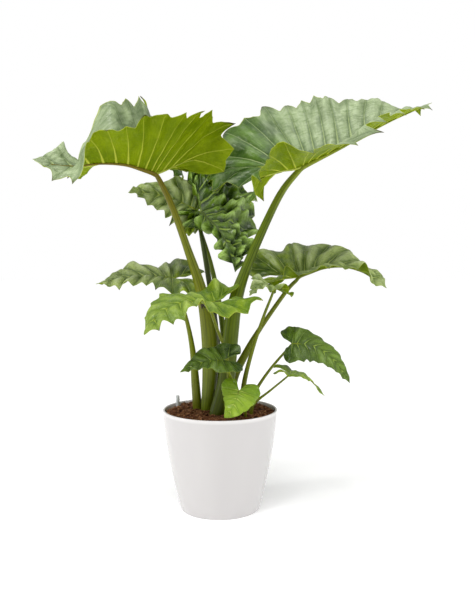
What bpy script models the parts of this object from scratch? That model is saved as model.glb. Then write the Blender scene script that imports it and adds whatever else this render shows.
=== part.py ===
"""Potted alocasia: a round white planter, its potting mix, and twelve leaves on their own stalks.

Metres, +Z up. The origin is the centre of the planter's foot. Places on the plant are given from
the middle of the mix's surface, so the whole plant follows the planter's height and the fill.
"""

import bmesh
import bpy
import numpy as np

# ---- planter ----
POT_HEIGHT = 0.2435
POT_TOP_RADIUS = 0.140
POT_FOOT_RADIUS = 0.097
POT_WALL = 0.0045
POT_FLOOR = 0.005
POT_BELLY = 1.5          # how quickly the wall swells above the foot
POT_EDGE_ROUND = 0.0018
POT_TURNS = 56

# ---- potting mix ----
FILL_BELOW_RIM = 0.010
MIX_MOUND = 0.004        # how much higher the mix stands in the middle
MIX_TURNS = 48

# ---- level gauge, a closed tube stood in the mix beside the wall ----
GAUGE_ANGLE = 150.95      # degrees round the planter from +X
GAUGE_CLEAR = 0.0005     # between the tube's foot and the wall beside it
GAUGE_RADIUS = 0.0048
GAUGE_ABOVE_RIM = 0.024
GAUGE_DEPTH = 0.060
GAUGE_DOME = 0.0030

# ---- dried sheath left round the thickest stalk ----
SHEATH_WALL = 0.0022
SHEATH_LOW, SHEATH_HIGH = 0.265, 0.300

# ---- shared by all the leaves ----
GAP = 0.0004             # left between pieces that touch
STALK_DEPTH = 0.035      # how far a stalk goes down into the mix
BLADE_THICKNESS = 0.0018
STALK_SIDES = 8

# Half of a blade, flat: x runs from the back of the basal lobe (-1) through the stalk (0) to the
# tip (1), y is the share of the half's width. It starts at the cleft between the lobes.
CLEFT = 0.05
OUTLINE = [(-CLEFT, 0.0), (-0.40, 0.15), (-0.80, 0.30), (-1.0, 0.58), (-0.86, 0.85), (-0.42, 1.0),
           (0.0, 0.95), (0.25, 0.80), (0.5, 0.58), (0.73, 0.35), (0.90, 0.15), (1.0, 0.0)]
LOBE_END = 3             # outline point at the back of the lobe
FIRST_VEIN = 6           # outline point abreast of the stalk
LOBE_RIB = (-0.62, 0.42)  # where the lobe's own rib ends

# Each leaf, in metres and degrees. "rib" is the midrib from the stalk to the tip, and "up" is the
# way its upper face looks there. Pairs are (half on the left looking towards the tip with the upper
# face up, half on the right). Folds run from the back of the lobe to the tip and lift that half.
# "stalk" goes from the mix up to just short of the blade, with its radius at each point.
LEAVES = {
    "upper_left": dict(
        rib=[(-0.157, -0.010, 0.584), (-0.216, -0.070, 0.595), (-0.282, -0.125, 0.589), (-0.335, -0.160, 0.577),
             (-0.400, -0.185, 0.588)],
        up=(-0.1, 0.05, 1), width=(0.18, 0.19), lobe=(0.115, 0.12), lobe_drop=28,
        fold=((42, 44, 46, 49, 52, 54, 56, 55, 54, 51, 48, 45, 42, 39, 36, 36, 36, 36, 36, 35, 28, -30, -50, -50, -40),
              (60, 60, 60, 60, 62, 64, 66, 70, 74, 78, 80, 82, 84, 86, 88, 92, 96, 40, 0, 10, 40, 60, 62, 52, 40)),
        curl=((-10, -10), (-15, -15)),
        ruffle=0.007, waves=4, seed=3, rows=(4, 12, 5),
        stalk=[(-0.034, 0.004, 0.0), (-0.024, 0.004, 0.10), (-0.026, 0.004, 0.20), (-0.045, 0.002, 0.30),
               (-0.078, 0.0, 0.40), (-0.114, -0.002, 0.50), (-0.146, -0.006, 0.568)],
        radius=(0.012, 0.017, 0.019, 0.013, 0.0095, 0.0080, 0.0062, 0.0050)),
    "upper_right": dict(
        rib=[(0.202, 0.0, 0.605), (0.304, 0.0, 0.655), (0.406, 0.015, 0.711), (0.525, 0.03, 0.764)],
        up=(-0.3, 0, 1), width=(0.22, 0.17), lobe=(0.18, 0.16), lobe_drop=22,
        fold=((50, 58, 63, 62, 66, 58, 10), (5, 20, 22, 8, 3, 3, 5)),
        curl=((-15, -15), (-10, -10)), ruffle=0.008, waves=4, seed=5, rows=(4, 9, 4),
        stalk=[(-0.010, -0.040, 0.0), (0.014, -0.026, 0.08), (0.024, -0.020, 0.18), (0.036, -0.012, 0.27),
               (0.062, -0.004, 0.35), (0.105, 0.0, 0.45), (0.150, 0.0, 0.54), (0.192, 0.0, 0.592)],
        radius=(0.015, 0.018, 0.018, 0.017, 0.0125, 0.0100, 0.0085, 0.0070, 0.0055)),
    "centre_right": dict(
        rib=[(-0.047, 0.07, 0.497), (0.0, 0.035, 0.450), (0.025, 0.01, 0.393), (0.037, 0.002, 0.345)],
        up=(0.1, -0.75, 0.6), width=(0.18, 0.045), lobe=(0.16, 0.035), lobe_drop=-10,
        fold=((5, 0, 0, -10, -20, -25, -30), (-30, -30, -35, -40, -70, -80, -80)),
        curl=((-15, -15), (-20, -20)), ruffle=0.010, waves=4, seed=7, rows=(4, 8, 4),
        stalk=[(0.000, 0.040, 0.0), (-0.004, 0.042, 0.12), (-0.016, 0.050, 0.24), (-0.034, 0.070, 0.36),
               (-0.050, 0.094, 0.455)],
        radius=(0.0095, 0.0085, 0.0075, 0.0065, 0.0050, 0.0042)),
    "centre_left": dict(
        rib=[(-0.064, 0.125, 0.508), (-0.114, 0.123, 0.533), (-0.176, 0.110, 0.548), (-0.234, 0.090, 0.548)],
        up=(-0.2, -0.55, 1), width=(0.085, 0.11), lobe=(0.030, 0.045), lobe_drop=0,
        fold=((-10, -10, -15), (20, 20, 10)),
        curl=((-25, -25), (-25, -25)), ruffle=0.010, waves=4, seed=9, rows=(3, 7, 3),
        stalk=[(0.016, 0.062, 0.0), (0.014, 0.064, 0.12), (0.002, 0.072, 0.24), (-0.022, 0.100, 0.36),
               (-0.056, 0.146, 0.468)],
        radius=(0.0090, 0.0080, 0.0070, 0.0060, 0.0048, 0.0036)),
    "mid_left": dict(
        rib=[(-0.123, 0.080, 0.331), (-0.184, 0.071, 0.336), (-0.246, 0.052, 0.330), (-0.308, 0.032, 0.316)],
        up=(0, -0.1, 1), width=(0.085, 0.10), lobe=(0.08, 0.08), lobe_drop=10,
        fold=((-10, -10, -15), (25, 25, 20, 10)),
        curl=((-15, -15), (-10, -10)), ruffle=0.009, waves=3.5, seed=11, rows=(3, 7, 3),
        stalk=[(-0.056, 0.022, 0.0), (-0.061, 0.020, 0.07), (-0.068, 0.026, 0.15), (-0.084, 0.048, 0.225),
               (-0.112, 0.073, 0.312)],
        radius=(0.0115, 0.0105, 0.0072, 0.0050, 0.0040, 0.0034)),
    "front": dict(
        rib=[(-0.028, -0.124, 0.278), (-0.083, -0.150, 0.280), (-0.131, -0.182, 0.258), (-0.162, -0.215, 0.213)],
        up=(0.05, -0.1, 1), width=(0.11, 0.098), lobe=(0.10, 0.105), lobe_drop=-20,
        fold=((14, 8, 2, 0, -5), (26, 20, 10, 5)),
        curl=((-15, -15), (-20, -20)), ruffle=0.009, waves=3.5, seed=13, rows=(4, 7, 3),
        stalk=[(0.022, -0.060, 0.0), (0.022, -0.062, 0.07), (0.015, -0.065, 0.15), (-0.007, -0.088, 0.215),
               (-0.022, -0.119, 0.262)],
        radius=(0.0060, 0.0052, 0.0042, 0.0038, 0.0034, 0.0030)),
    "mid_right": dict(
        rib=[(0.20, 0.05, 0.336), (0.27, 0.04, 0.358), (0.34, 0.02, 0.352), (0.41, 0.0, 0.306)],
        up=(0, -0.1, 1), width=(0.14, 0.075), lobe=(0.12, 0.09), lobe_drop=5,
        fold=((50, 45, 33, 10), (25, 25, 20, -5)),
        curl=((-20, -20), (-20, -20)), ruffle=0.009, waves=3.5, seed=15, rows=(4, 8, 3),
        stalk=[(0.024, 0.016, 0.0), (0.034, 0.024, 0.08), (0.066, 0.036, 0.145), (0.098, 0.042, 0.20),
               (0.165, 0.048, 0.295), (0.192, 0.050, 0.324)],
        radius=(0.0115, 0.0110, 0.0090, 0.0062, 0.0052, 0.0046, 0.0040)),
    "small_right": dict(
        rib=[(0.127, -0.030, 0.308), (0.106, -0.048, 0.317), (0.086, -0.060, 0.310), (0.069, -0.070, 0.290)],
        up=(0, -0.2, 1), width=(0.05, 0.045), lobe=(0.035, 0.035), lobe_drop=15,
        fold=((10, 10, 0), (15, 15, 15)),
        curl=((-20, -20), (-25, -25)), ruffle=0.006, waves=3, seed=17, rows=(3, 6, 3),
        stalk=[(0.050, -0.004, 0.0), (0.060, -0.004, 0.08), (0.080, -0.012, 0.16), (0.106, -0.020, 0.24),
               (0.126, -0.031, 0.294)],
        radius=(0.0070, 0.0060, 0.0045, 0.0036, 0.0030, 0.0026)),
    "low_right": dict(
        rib=[(0.176, -0.02, 0.172), (0.225, -0.03, 0.168), (0.272, -0.04, 0.135), (0.311, -0.05, 0.080)],
        up=(0.3, -0.8, 0.8), width=(0.055, 0.05), lobe=(0.03, 0.02), lobe_drop=15,
        fold=((20, 10, 0), (-10, -10, -10)),
        curl=((-25, -25), (-20, -20)), ruffle=0.004, waves=3, seed=19, rows=(3, 7, 3),
        stalk=[(0.070, -0.016, 0.0), (0.084, -0.012, 0.05), (0.120, -0.008, 0.105), (0.165, -0.010, 0.158)],
        radius=(0.0050, 0.0042, 0.0034, 0.0028, 0.0024)),
    "low_right_small": dict(
        rib=[(0.169, -0.05, 0.106), (0.20, -0.055, 0.100), (0.225, -0.06, 0.078), (0.248, -0.07, 0.052)],
        up=(0.4, 0.1, 1), width=(0.04, 0.035), lobe=(0.04, 0.04), lobe_drop=15,
        fold=((40, 25, 0), (0, 0, -10)),
        curl=((-25, -25), (-20, -20)), ruffle=0.003, waves=3, seed=21, rows=(3, 6, 2),
        stalk=[(0.074, -0.040, 0.0), (0.082, -0.041, 0.030), (0.120, -0.044, 0.062), (0.158, -0.048, 0.094)],
        radius=(0.0045, 0.0036, 0.0026, 0.0022, 0.0020)),
    "low_front": dict(
        rib=[(0.004, -0.127, 0.147), (-0.030, -0.142, 0.147), (-0.059, -0.152, 0.137), (-0.089, -0.162, 0.125)],
        up=(0, -0.5, 1), width=(0.04, 0.048), lobe=(0.045, 0.055), lobe_drop=15,
        fold=((0, 0, 0), (35, 30, 20, 10)),
        curl=((-25, -25), (-20, -20)), ruffle=0.003, waves=3, seed=23, rows=(3, 6, 3),
        stalk=[(0.038, -0.076, 0.0), (0.035, -0.073, 0.05), (0.026, -0.080, 0.10), (0.010, -0.117, 0.133)],
        radius=(0.0038, 0.0034, 0.0028, 0.0024, 0.0022)),
    "young": dict(
        rib=[(0.043, -0.108, 0.073), (0.036, -0.119, 0.053), (0.025, -0.126, 0.033), (0.009, -0.129, 0.015)],
        up=(0, -1, 0.6), width=(0.05, 0.043), lobe=(0.030, 0.030), lobe_drop=15,
        fold=((0, 0, 0), (0, 0, -10)),
        curl=((-25, -25), (-20, -20)), ruffle=0.002, waves=3, seed=25, rows=(3, 5, 3),
        stalk=[(0.060, -0.072, 0.0), (0.058, -0.078, 0.035), (0.051, -0.096, 0.064)],
        radius=(0.0032, 0.0028, 0.0022, 0.0020)),
}


# ---------------------------------------------------------------- leaf shape

def unit(vector):
    vector = np.asarray(vector, float)
    return vector / np.linalg.norm(vector)


def smooth_curve(points, count):
    """count points, evenly spaced, on a smooth curve through the points."""
    p = np.asarray(points, float)
    p = np.vstack([2 * p[0] - p[1], p, 2 * p[-1] - p[-2]])
    t = np.linspace(0, 1, 24, endpoint=False)[:, None]
    runs = []
    for a, b, c, d in zip(p, p[1:], p[2:], p[3:]):
        bend = (2 * a - 5 * b + 4 * c - d) * t ** 2 + (3 * b - a - 3 * c + d) * t ** 3
        runs.append(b + 0.5 * ((c - a) * t + bend))
    fine = np.vstack(runs + [p[-2:-1]])
    length = np.concatenate([[0], np.cumsum(np.linalg.norm(np.diff(fine, axis=0), axis=1))])
    at = np.linspace(0, length[-1], count)
    return np.stack([np.interp(at, length, column) for column in fine.T], axis=1)


def eased(values, share):
    """The values spread evenly over share = 0 .. 1, with smooth steps between them."""
    values = np.asarray(values, float)
    place = np.clip(share, 0, 1) * (len(values) - 1)
    low = np.minimum(place.astype(int), len(values) - 2)
    step = place - low
    step = step * step * (3 - 2 * step)
    return values[low] * (1 - step) + values[low + 1] * step


def outline_stations():
    """The flat outline as a fine curve, and how far along it the lobe's end and the first vein are."""
    margin = smooth_curve(OUTLINE, 400)
    share = [np.argmin(np.linalg.norm(margin - OUTLINE[i], axis=1)) / 399 for i in (LOBE_END, FIRST_VEIN)]
    return margin, share[0], share[1]


def flat_point(around, across):
    """Flat place of a point: around runs 0..1 along the margin, across 0..1 from rib to margin."""
    margin, lobe_end, first_vein = outline_stations()
    stations = np.linspace(0, 1, len(margin))
    edge_x = np.interp(around, stations, margin[:, 0])
    edge_y = np.interp(around, stations, margin[:, 1])
    out_and_back = np.where(around < lobe_end, around / lobe_end,
                            np.clip((first_vein - around) / (first_vein - lobe_end), 0, 1))
    on_midrib = np.clip((around - first_vein) / (1 - first_vein), 0, 1) ** 1.15
    rib_x = np.where(around < first_vein, LOBE_RIB[0] * out_and_back, on_midrib)
    rib_y = np.where(around < first_vein, LOBE_RIB[1] * out_and_back ** 1.3, 0)
    sweep = 0.2 * on_midrib * (1 - on_midrib) * across * (1 - across)
    return rib_x + (edge_x - rib_x) * across - sweep, rib_y + (edge_y - rib_y) * across


def midrib_frames(leaf, count=60):
    """Points on the midrib with the blade's forward, upward and sideways directions there."""
    rib = smooth_curve(leaf["rib"], count)
    forward = np.gradient(rib, axis=0)
    forward /= np.linalg.norm(forward, axis=1)[:, None]
    upward = np.zeros_like(forward)
    up = unit(leaf["up"])
    for i, ahead in enumerate(forward):
        up = unit(up - ahead * (up @ ahead))
        upward[i] = up
    return rib, forward, upward, np.cross(upward, forward)


def blade_points(leaf, around, across, half):
    """Points of one half of a blade in space. half is 0 for the left one and 1 for the right one."""
    x, y = flat_point(around, across)
    rib, forward, upward, sideways = midrib_frames(leaf)
    along = np.linspace(0, 1, len(rib))

    def on_rib(rows):
        return np.stack([np.interp(np.clip(x, 0, 1), along, column) for column in rows.T], axis=-1)

    place, up, side = on_rib(rib), on_rib(upward), on_rib(sideways)
    back = np.clip(-x, 0, None)
    turn = np.radians(leaf["lobe_drop"]) * back
    alike = sum(leaf["lobe"]) / 2
    length = alike + (leaf["lobe"][half] - alike) * np.clip((back - CLEFT) / 0.3, 0, 1)
    reach = (length * back)[..., None]
    behind = (x < 0)[..., None]
    place = place - np.where(behind, reach * (np.cos(turn / 2)[..., None] * forward[0]
                                              + np.sin(turn / 2)[..., None] * upward[0]), 0)
    turned = np.cos(turn)[..., None] * upward[0] - np.sin(turn)[..., None] * forward[0]
    up = np.where(behind, turned, up)

    fold = np.radians(eased(leaf["fold"][half], (x + 1) / 2))
    curl = np.radians(eased(leaf["curl"][half], (x + 1) / 2))
    slope = fold + curl * y
    width = leaf["width"][half]
    out = (np.sin(slope) - np.sin(fold)) / curl * width
    rise = (np.cos(fold) - np.cos(slope)) / curl * width
    hand = 1 if half == 0 else -1
    point = place + side * (hand * out)[..., None] + up * rise[..., None]

    rng = np.random.default_rng(leaf["seed"] * 2 + (half == 0))
    start = rng.uniform(0, 2 * np.pi, 2)
    wave = (np.sin(2 * np.pi * leaf["waves"] * around + start[0])
            + 0.6 * np.sin(3.8 * np.pi * leaf["waves"] * around + start[1]))
    still = np.clip((1 - around) * 5, 0, 1) * np.clip(around * 8, 0, 1)
    lift = wave * leaf["ruffle"] * across ** 2 * still
    outward = up * np.cos(slope)[..., None] - side * (hand * np.sin(slope))[..., None]
    return point + outward * lift[..., None]


# ---------------------------------------------------------------- Blender helpers

def clear_scene():
    for thing in list(bpy.data.objects):
        bpy.data.objects.remove(thing, do_unlink=True)


def material(name, colour, roughness):
    made = bpy.data.materials.get(name)
    if made is None:
        made = bpy.data.materials.new(name)
        made.use_nodes = True
        shader = made.node_tree.nodes["Principled BSDF"]
        shader.inputs["Base Color"].default_value = (*colour, 1)
        shader.inputs["Roughness"].default_value = roughness
        shader.inputs["Metallic"].default_value = 0
    return made


def leaf_green():
    return material("leaf", (0.13, 0.30, 0.03), 0.35)


def stalk_green():
    return material("stalk", (0.24, 0.33, 0.05), 0.45)


def white_gloss():
    return material("planter_white", (0.86, 0.85, 0.85), 0.15)


def gather(thing, collection, made_of=None):
    """Puts an object in a collection and gives it its material."""
    for holder in list(thing.users_collection):
        holder.objects.unlink(thing)
    collection.objects.link(thing)
    if made_of is not None:
        thing.data.materials.clear()
        thing.data.materials.append(made_of)
    return thing


def applied(thing):
    """Gives the object the mesh that its modifiers make, and drops the modifiers."""
    graph = bpy.context.evaluated_depsgraph_get()
    mesh = bpy.data.meshes.new_from_object(thing.evaluated_get(graph))
    thing.modifiers.clear()
    thing.data = mesh
    return thing


def turned(name, profile, turns, collection, made_of=None, place=(0, 0, 0)):
    """A solid of revolution from a profile that runs down its outer side, from axis to axis."""
    mesh = bpy.data.meshes.new(name)
    mesh.from_pydata([(r, 0, z) for r, z in profile], [(i, i + 1) for i in range(len(profile) - 1)], [])
    thing = bpy.data.objects.new(name, mesh)
    collection.objects.link(thing)
    thing.location = place
    screw = thing.modifiers.new("turn", "SCREW")
    screw.steps = screw.render_steps = turns
    screw.use_merge_vertices = True
    screw.merge_threshold = 0.0001
    bpy.context.view_layer.update()
    applied(thing)
    if made_of is not None:
        thing.data.materials.append(made_of)
    thing.data.shade_smooth()
    thing.data.set_sharp_from_angle(angle=np.radians(40))
    return thing


def tube(name, line, collection, made_of=None, sides=STALK_SIDES):
    """A stem as a mesh, along points with a radius each (x, y, z, r), with closed ends."""
    curve = bpy.data.curves.new(name, "CURVE")
    curve.dimensions = "3D"
    curve.bevel_depth = 1
    curve.bevel_resolution = sides // 2 - 2
    curve.use_fill_caps = True
    spline = curve.splines.new("POLY")
    spline.points.add(len(line) - 1)
    for point, (x, y, z, radius) in zip(spline.points, line):
        point.co = (x, y, z, 1)
        point.radius = radius
    thing = bpy.data.objects.new(name, curve)
    collection.objects.link(thing)
    bpy.context.view_layer.update()
    graph = bpy.context.evaluated_depsgraph_get()
    mesh = bpy.data.meshes.new_from_object(thing.evaluated_get(graph))
    bpy.data.objects.remove(thing)
    welded = bmesh.new()
    welded.from_mesh(mesh)
    bmesh.ops.remove_doubles(welded, verts=welded.verts, dist=0.00002)
    welded.to_mesh(mesh)
    welded.free()
    if made_of is not None:
        mesh.materials.clear()
        mesh.materials.append(made_of)
    solid = bpy.data.objects.new(name, mesh)
    collection.objects.link(solid)
    return solid


def cut(thing, cutter):
    """Takes the cutter's shape out of the thing."""
    boolean = thing.modifiers.new("cut_" + cutter.name, "BOOLEAN")
    boolean.operation = "DIFFERENCE"
    boolean.object = cutter


def hide_cutter(cutter):
    cutter.hide_render = True
    cutter.display_type = "WIRE"
    return cutter


# ---------------------------------------------------------------- the planter

def wall_radius(height):
    """The planter's outer radius at a height above its foot."""
    swell = 1 - (1 - np.clip(height / POT_HEIGHT, 0, 1)) ** POT_BELLY
    return POT_FOOT_RADIUS + (POT_TOP_RADIUS - POT_FOOT_RADIUS) * swell


def inner_radius(height):
    return wall_radius(height) - POT_WALL


def planter(collection):
    heights = np.linspace(POT_HEIGHT, 0, 11)
    edge = POT_EDGE_ROUND
    outside = [(wall_radius(z), z) for z in heights[1:-1]]
    inside = [(inner_radius(z), z) for z in heights[-2:0:-1]]
    profile = [(POT_TOP_RADIUS - edge, POT_HEIGHT), (POT_TOP_RADIUS, POT_HEIGHT - edge), *outside,
               (POT_FOOT_RADIUS, edge), (POT_FOOT_RADIUS - edge, 0), (0, 0)]
    profile = [(0, POT_FLOOR), (inner_radius(POT_FLOOR), POT_FLOOR), *inside,
               (POT_TOP_RADIUS - POT_WALL, POT_HEIGHT - edge / 2), *profile]
    return turned("planter", profile, POT_TURNS, collection, white_gloss())


def level_gauge(collection):
    top, low = POT_HEIGHT + GAUGE_ABOVE_RIM, gauge_foot()
    shape = [(0, top), (GAUGE_RADIUS * 0.6, top - GAUGE_DOME * 0.3), (GAUGE_RADIUS, top - GAUGE_DOME),
             (GAUGE_RADIUS, low), (0, low)]
    return turned("level_gauge", shape, 20, collection, material("gauge_plastic", (0.55, 0.57, 0.57), 0.3),
                  (*gauge_place(), 0))


def gauge_foot():
    return mix_level() - GAUGE_DEPTH


def gauge_place():
    """Where the tube stands, just clear of the tapering wall at its foot."""
    reach = inner_radius(gauge_foot()) - GAUGE_RADIUS - GAUGE_CLEAR
    angle = np.radians(GAUGE_ANGLE)
    return reach * np.cos(angle), reach * np.sin(angle)


def gauge_socket():
    low, high = gauge_foot() - GAP, POT_HEIGHT + GAUGE_ABOVE_RIM + GAP
    bpy.ops.mesh.primitive_cylinder_add(vertices=20, radius=GAUGE_RADIUS + GAP, depth=high - low,
                                        location=(*gauge_place(), (low + high) / 2))
    bpy.context.object.name = "socket_gauge"
    return hide_cutter(gather(bpy.context.object, cutters))


# ---------------------------------------------------------------- mix, stalks and blades

def mix_level():
    return POT_HEIGHT - FILL_BELOW_RIM


def plant_point(point):
    """A place given from the middle of the mix's surface, in the object's own frame."""
    return (point[0], point[1], point[2] + mix_level())


def potting_mix(collection, sockets):
    """The mix and the roots in it, with a socket for each stalk and for the gauge."""
    low = POT_FLOOR + GAP
    heights = np.linspace(mix_level(), low, 9)
    side = [(inner_radius(z) - GAP, z) for z in heights]
    crown = [(0, mix_level() + MIX_MOUND), (0.055, mix_level() + MIX_MOUND * 0.8),
             (0.10, mix_level() + MIX_MOUND * 0.25)]
    mix = turned("potting_mix", [*crown, *side, (0, low)], MIX_TURNS, collection,
                 material("mix", (0.09, 0.045, 0.025), 0.95))
    for socket in sockets:
        cut(mix, socket)
    return mix


def stalk_end(leaf):
    """The middle of the stalk's end face, low enough to clear the underside of a drooping blade."""
    joint = np.array(leaf["rib"][0])
    upward = midrib_frames(leaf)[2][0]
    ahead = unit(joint - leaf["stalk"][-1])
    tilt = np.sqrt(max(0, 1 - (ahead @ upward) ** 2))
    droop = max(0, *(-eased(fold, 0.5) for fold in leaf["fold"]))
    clear = BLADE_THICKNESS / 2 + GAP * 2 + leaf["radius"][-1] * (tilt + np.sin(np.radians(droop)))
    return tuple(joint - upward * clear)


def stalk_line(leaf):
    """The stalk's middle and radius, from inside the mix to just under the blade."""
    points = [plant_point(p) for p in (*leaf["stalk"], stalk_end(leaf))]
    foot = (points[0][0], points[0][1], points[0][2] - STALK_DEPTH)
    radii = [leaf["radius"][0] * 0.8, *leaf["radius"]]
    return smooth_curve([(*p, r) for p, r in zip([foot, *points], radii)], 7 + len(points))


def wider_line(line, gap, more=0.0):
    """The same line with a gap all round and, if asked, a longer start."""
    wide = line + (0, 0, 0, gap)
    start = wide[0].copy()
    start[:3] += unit(wide[0, :3] - wide[1, :3]) * more
    return np.vstack([start, wide]) if more else wide


def stalk(name, leaf, collection):
    """The leaf stalk and the cutter for its socket in the mix."""
    line = stalk_line(leaf)
    made = tube("stalk_" + name, line, collection, stalk_green())
    made.data.shade_smooth()
    return hide_cutter(tube("socket_" + name, wider_line(line, GAP, GAP * 2), cutters))


def dried_sheath(collection):
    """A loose brown collar round the thickest stalk, the husk of an older leaf."""
    line = stalk_line(LEAVES["upper_left"])
    low, high = SHEATH_LOW + mix_level(), SHEATH_HIGH + mix_level()
    at = np.linspace(low, high, 5)
    around_it = np.stack([np.interp(at, line[:, 2], column) for column in line.T], axis=1)
    collar = tube("dried_sheath", wider_line(around_it, GAP + SHEATH_WALL), collection,
                  material("husk", (0.07, 0.045, 0.03), 0.8), 12)
    bore = hide_cutter(tube("bore_of_sheath", wider_line(line, GAP), cutters))
    cut(collar, bore)
    return collar


def blade(name, leaf, collection):
    """A closed, thin blade: two grids folded into the halves, joined at the ribs, with thickness."""
    lobe_steps, front_steps, rings = leaf["rows"]
    lobe_end, first_vein = outline_stations()[1:]
    out, back, ahead = np.arange(lobe_steps), np.arange(lobe_steps), np.arange(front_steps + 1)
    stations = np.concatenate([lobe_end * out / lobe_steps,
                               lobe_end + (first_vein - lobe_end) * back / lobe_steps,
                               first_vein + (1 - first_vein) * ahead / front_steps])
    steps = len(stations) - 1
    halves = bmesh.new()
    for half in (0, 1):
        bpy.ops.mesh.primitive_grid_add(x_subdivisions=steps, y_subdivisions=rings, size=2)
        grid = bpy.context.object
        flat = np.array([v.co for v in grid.data.vertices])
        around = stations[np.rint((flat[:, 0] + 1) / 2 * steps).astype(int)]
        places = blade_points(leaf, around, (flat[:, 1] + 1) / 2, half)
        for vertex, place in zip(grid.data.vertices, places):
            vertex.co = plant_point(place)
        if half == 0:
            grid.data.flip_normals()
        halves.from_mesh(grid.data)
        bpy.data.objects.remove(grid)
    bmesh.ops.remove_doubles(halves, verts=halves.verts, dist=0.0004)
    mesh = bpy.data.meshes.new("blade_" + name)
    halves.to_mesh(mesh)
    halves.free()
    mesh.materials.append(leaf_green())
    thing = bpy.data.objects.new("blade_" + name, mesh)
    collection.objects.link(thing)
    thing.data.shade_smooth()
    shell = thing.modifiers.new("thickness", "SOLIDIFY")
    shell.thickness = BLADE_THICKNESS
    shell.offset = 0
    return thing


def build():
    global cutters
    clear_scene()
    plant = bpy.data.collections.new("potted_alocasia")
    cutters = bpy.data.collections.new("cutters")
    bpy.context.scene.collection.children.link(plant)
    bpy.context.scene.collection.children.link(cutters)
    planter(plant)
    level_gauge(plant)
    sockets = [gauge_socket()]
    for name, leaf in LEAVES.items():
        blade(name, leaf, plant)
        sockets.append(stalk(name, leaf, plant))
    dried_sheath(plant)
    potting_mix(plant, sockets)


build()
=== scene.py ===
import math
import random

import bmesh
import bpy
import numpy as np
from mathutils import Matrix, Vector, noise


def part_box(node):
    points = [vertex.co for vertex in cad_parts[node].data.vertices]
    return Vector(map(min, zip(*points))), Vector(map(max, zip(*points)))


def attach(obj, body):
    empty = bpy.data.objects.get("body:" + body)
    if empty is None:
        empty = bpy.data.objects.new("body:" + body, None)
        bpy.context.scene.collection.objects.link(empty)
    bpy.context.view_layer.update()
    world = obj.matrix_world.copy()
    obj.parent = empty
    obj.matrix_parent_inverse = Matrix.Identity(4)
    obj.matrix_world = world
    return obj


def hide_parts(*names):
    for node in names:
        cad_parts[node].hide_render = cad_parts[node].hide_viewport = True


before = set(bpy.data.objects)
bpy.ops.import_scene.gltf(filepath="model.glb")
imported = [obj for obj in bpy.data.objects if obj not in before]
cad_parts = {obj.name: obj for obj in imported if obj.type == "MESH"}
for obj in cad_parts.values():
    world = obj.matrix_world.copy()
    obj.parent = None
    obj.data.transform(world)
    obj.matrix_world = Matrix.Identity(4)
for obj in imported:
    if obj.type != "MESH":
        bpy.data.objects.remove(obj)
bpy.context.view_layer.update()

rimRadius, _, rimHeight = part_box("planter")[1]
fillBelowRim = 0.010
mixLevel = rimHeight - fillBelowRim
print("frame loaded, rim at", round(rimHeight, 4))


# shader helpers

def tone(red, green, blue):  # a screen colour as the linear one that shaders use
    def channel(c):
        c /= 255
        return c / 12.92 if c <= 0.04045 else ((c + 0.055) / 1.055) ** 2.4
    return (channel(red), channel(green), channel(blue), 1.0)


def tones(**look):  # a settings dictionary whose triples are colours
    return {name: tone(*item) if isinstance(item, tuple) else item for name, item in look.items()}


def plug(tree, slot, item):
    if isinstance(item, Value):
        tree.links.new(item.socket, slot)
    else:
        slot.default_value = item


class Value:  # a shader socket that can stand in sums
    def __init__(self, tree, socket):
        self.tree, self.socket = tree, socket

    def calc(self, operation, other, swapped=False):
        node = self.tree.nodes.new("ShaderNodeMath")
        node.operation = operation
        pair = (other, self) if swapped else (self, other)
        for slot, item in zip(node.inputs, pair):
            plug(self.tree, slot, item)
        return Value(self.tree, node.outputs[0])

    def __add__(self, other):
        return self.calc("ADD", other)

    def __radd__(self, other):
        return self.calc("ADD", other, True)

    def __sub__(self, other):
        return self.calc("SUBTRACT", other)

    def __rsub__(self, other):
        return self.calc("SUBTRACT", other, True)

    def __mul__(self, other):
        return self.calc("MULTIPLY", other)

    def __rmul__(self, other):
        return self.calc("MULTIPLY", other, True)


class Finish:  # one material while it is put together
    def __init__(self, name, **shaderSockets):
        self.material = bpy.data.materials.new(name)
        self.material.use_nodes = True
        self.tree = self.material.node_tree
        self.shader = self.tree.nodes["Principled BSDF"]
        self.set(**shaderSockets)

    def set(self, **shaderSockets):
        for name, item in shaderSockets.items():
            plug(self.tree, self.shader.inputs[name.replace("_", " ")], item)
        return self.material

    def node(self, kind, settings=None, sockets=None, out=0):
        made = self.tree.nodes.new("ShaderNode" + kind)
        for name, item in (settings or {}).items():
            if name == "stops":
                for extra in range(len(item) - 2):
                    made.color_ramp.elements.new(0.5)
                for stop, (place, colour) in zip(made.color_ramp.elements, item):
                    stop.position, stop.color = place, colour
            else:
                setattr(made, name, item)
        for name, item in (sockets or {}).items():
            plug(self.tree, made.inputs[name], item)
        return Value(self.tree, made.outputs[out])

    def mix(self, share, first, second):
        return self.node("Mix", {"data_type": "RGBA"}, {0: share, 6: first, 7: second}, 2)

    def attribute(self, name, out="Fac"):
        return self.node("Attribute", {"attribute_name": name}, None, out)

    def objectPoint(self, stretch=(1, 1, 1)):
        place = self.node("TexCoord", None, None, "Object")
        return self.node("Mapping", None, {"Vector": place, "Scale": stretch})

    def noise(self, point, scale, detail=3.0, rough=0.5):
        sockets = {"Vector": point, "Scale": scale, "Detail": detail, "Roughness": rough}
        return self.node("TexNoise", None, sockets)

    def band(self, value, low, high, first=0.0, second=1.0):  # value low..high becomes first..second
        return self.node("MapRange", None, {"Value": value, "From Min": low, "From Max": high,
                                            "To Min": first, "To Max": second})

    def bump(self, height, strength, distance):
        return self.node("Bump", None, {"Height": height, "Strength": strength, "Distance": distance})


# mesh helpers

def deselectAll():
    if bpy.context.mode != "OBJECT":
        bpy.ops.object.mode_set(mode="OBJECT")
    bpy.ops.object.select_all(action="DESELECT")


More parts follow.
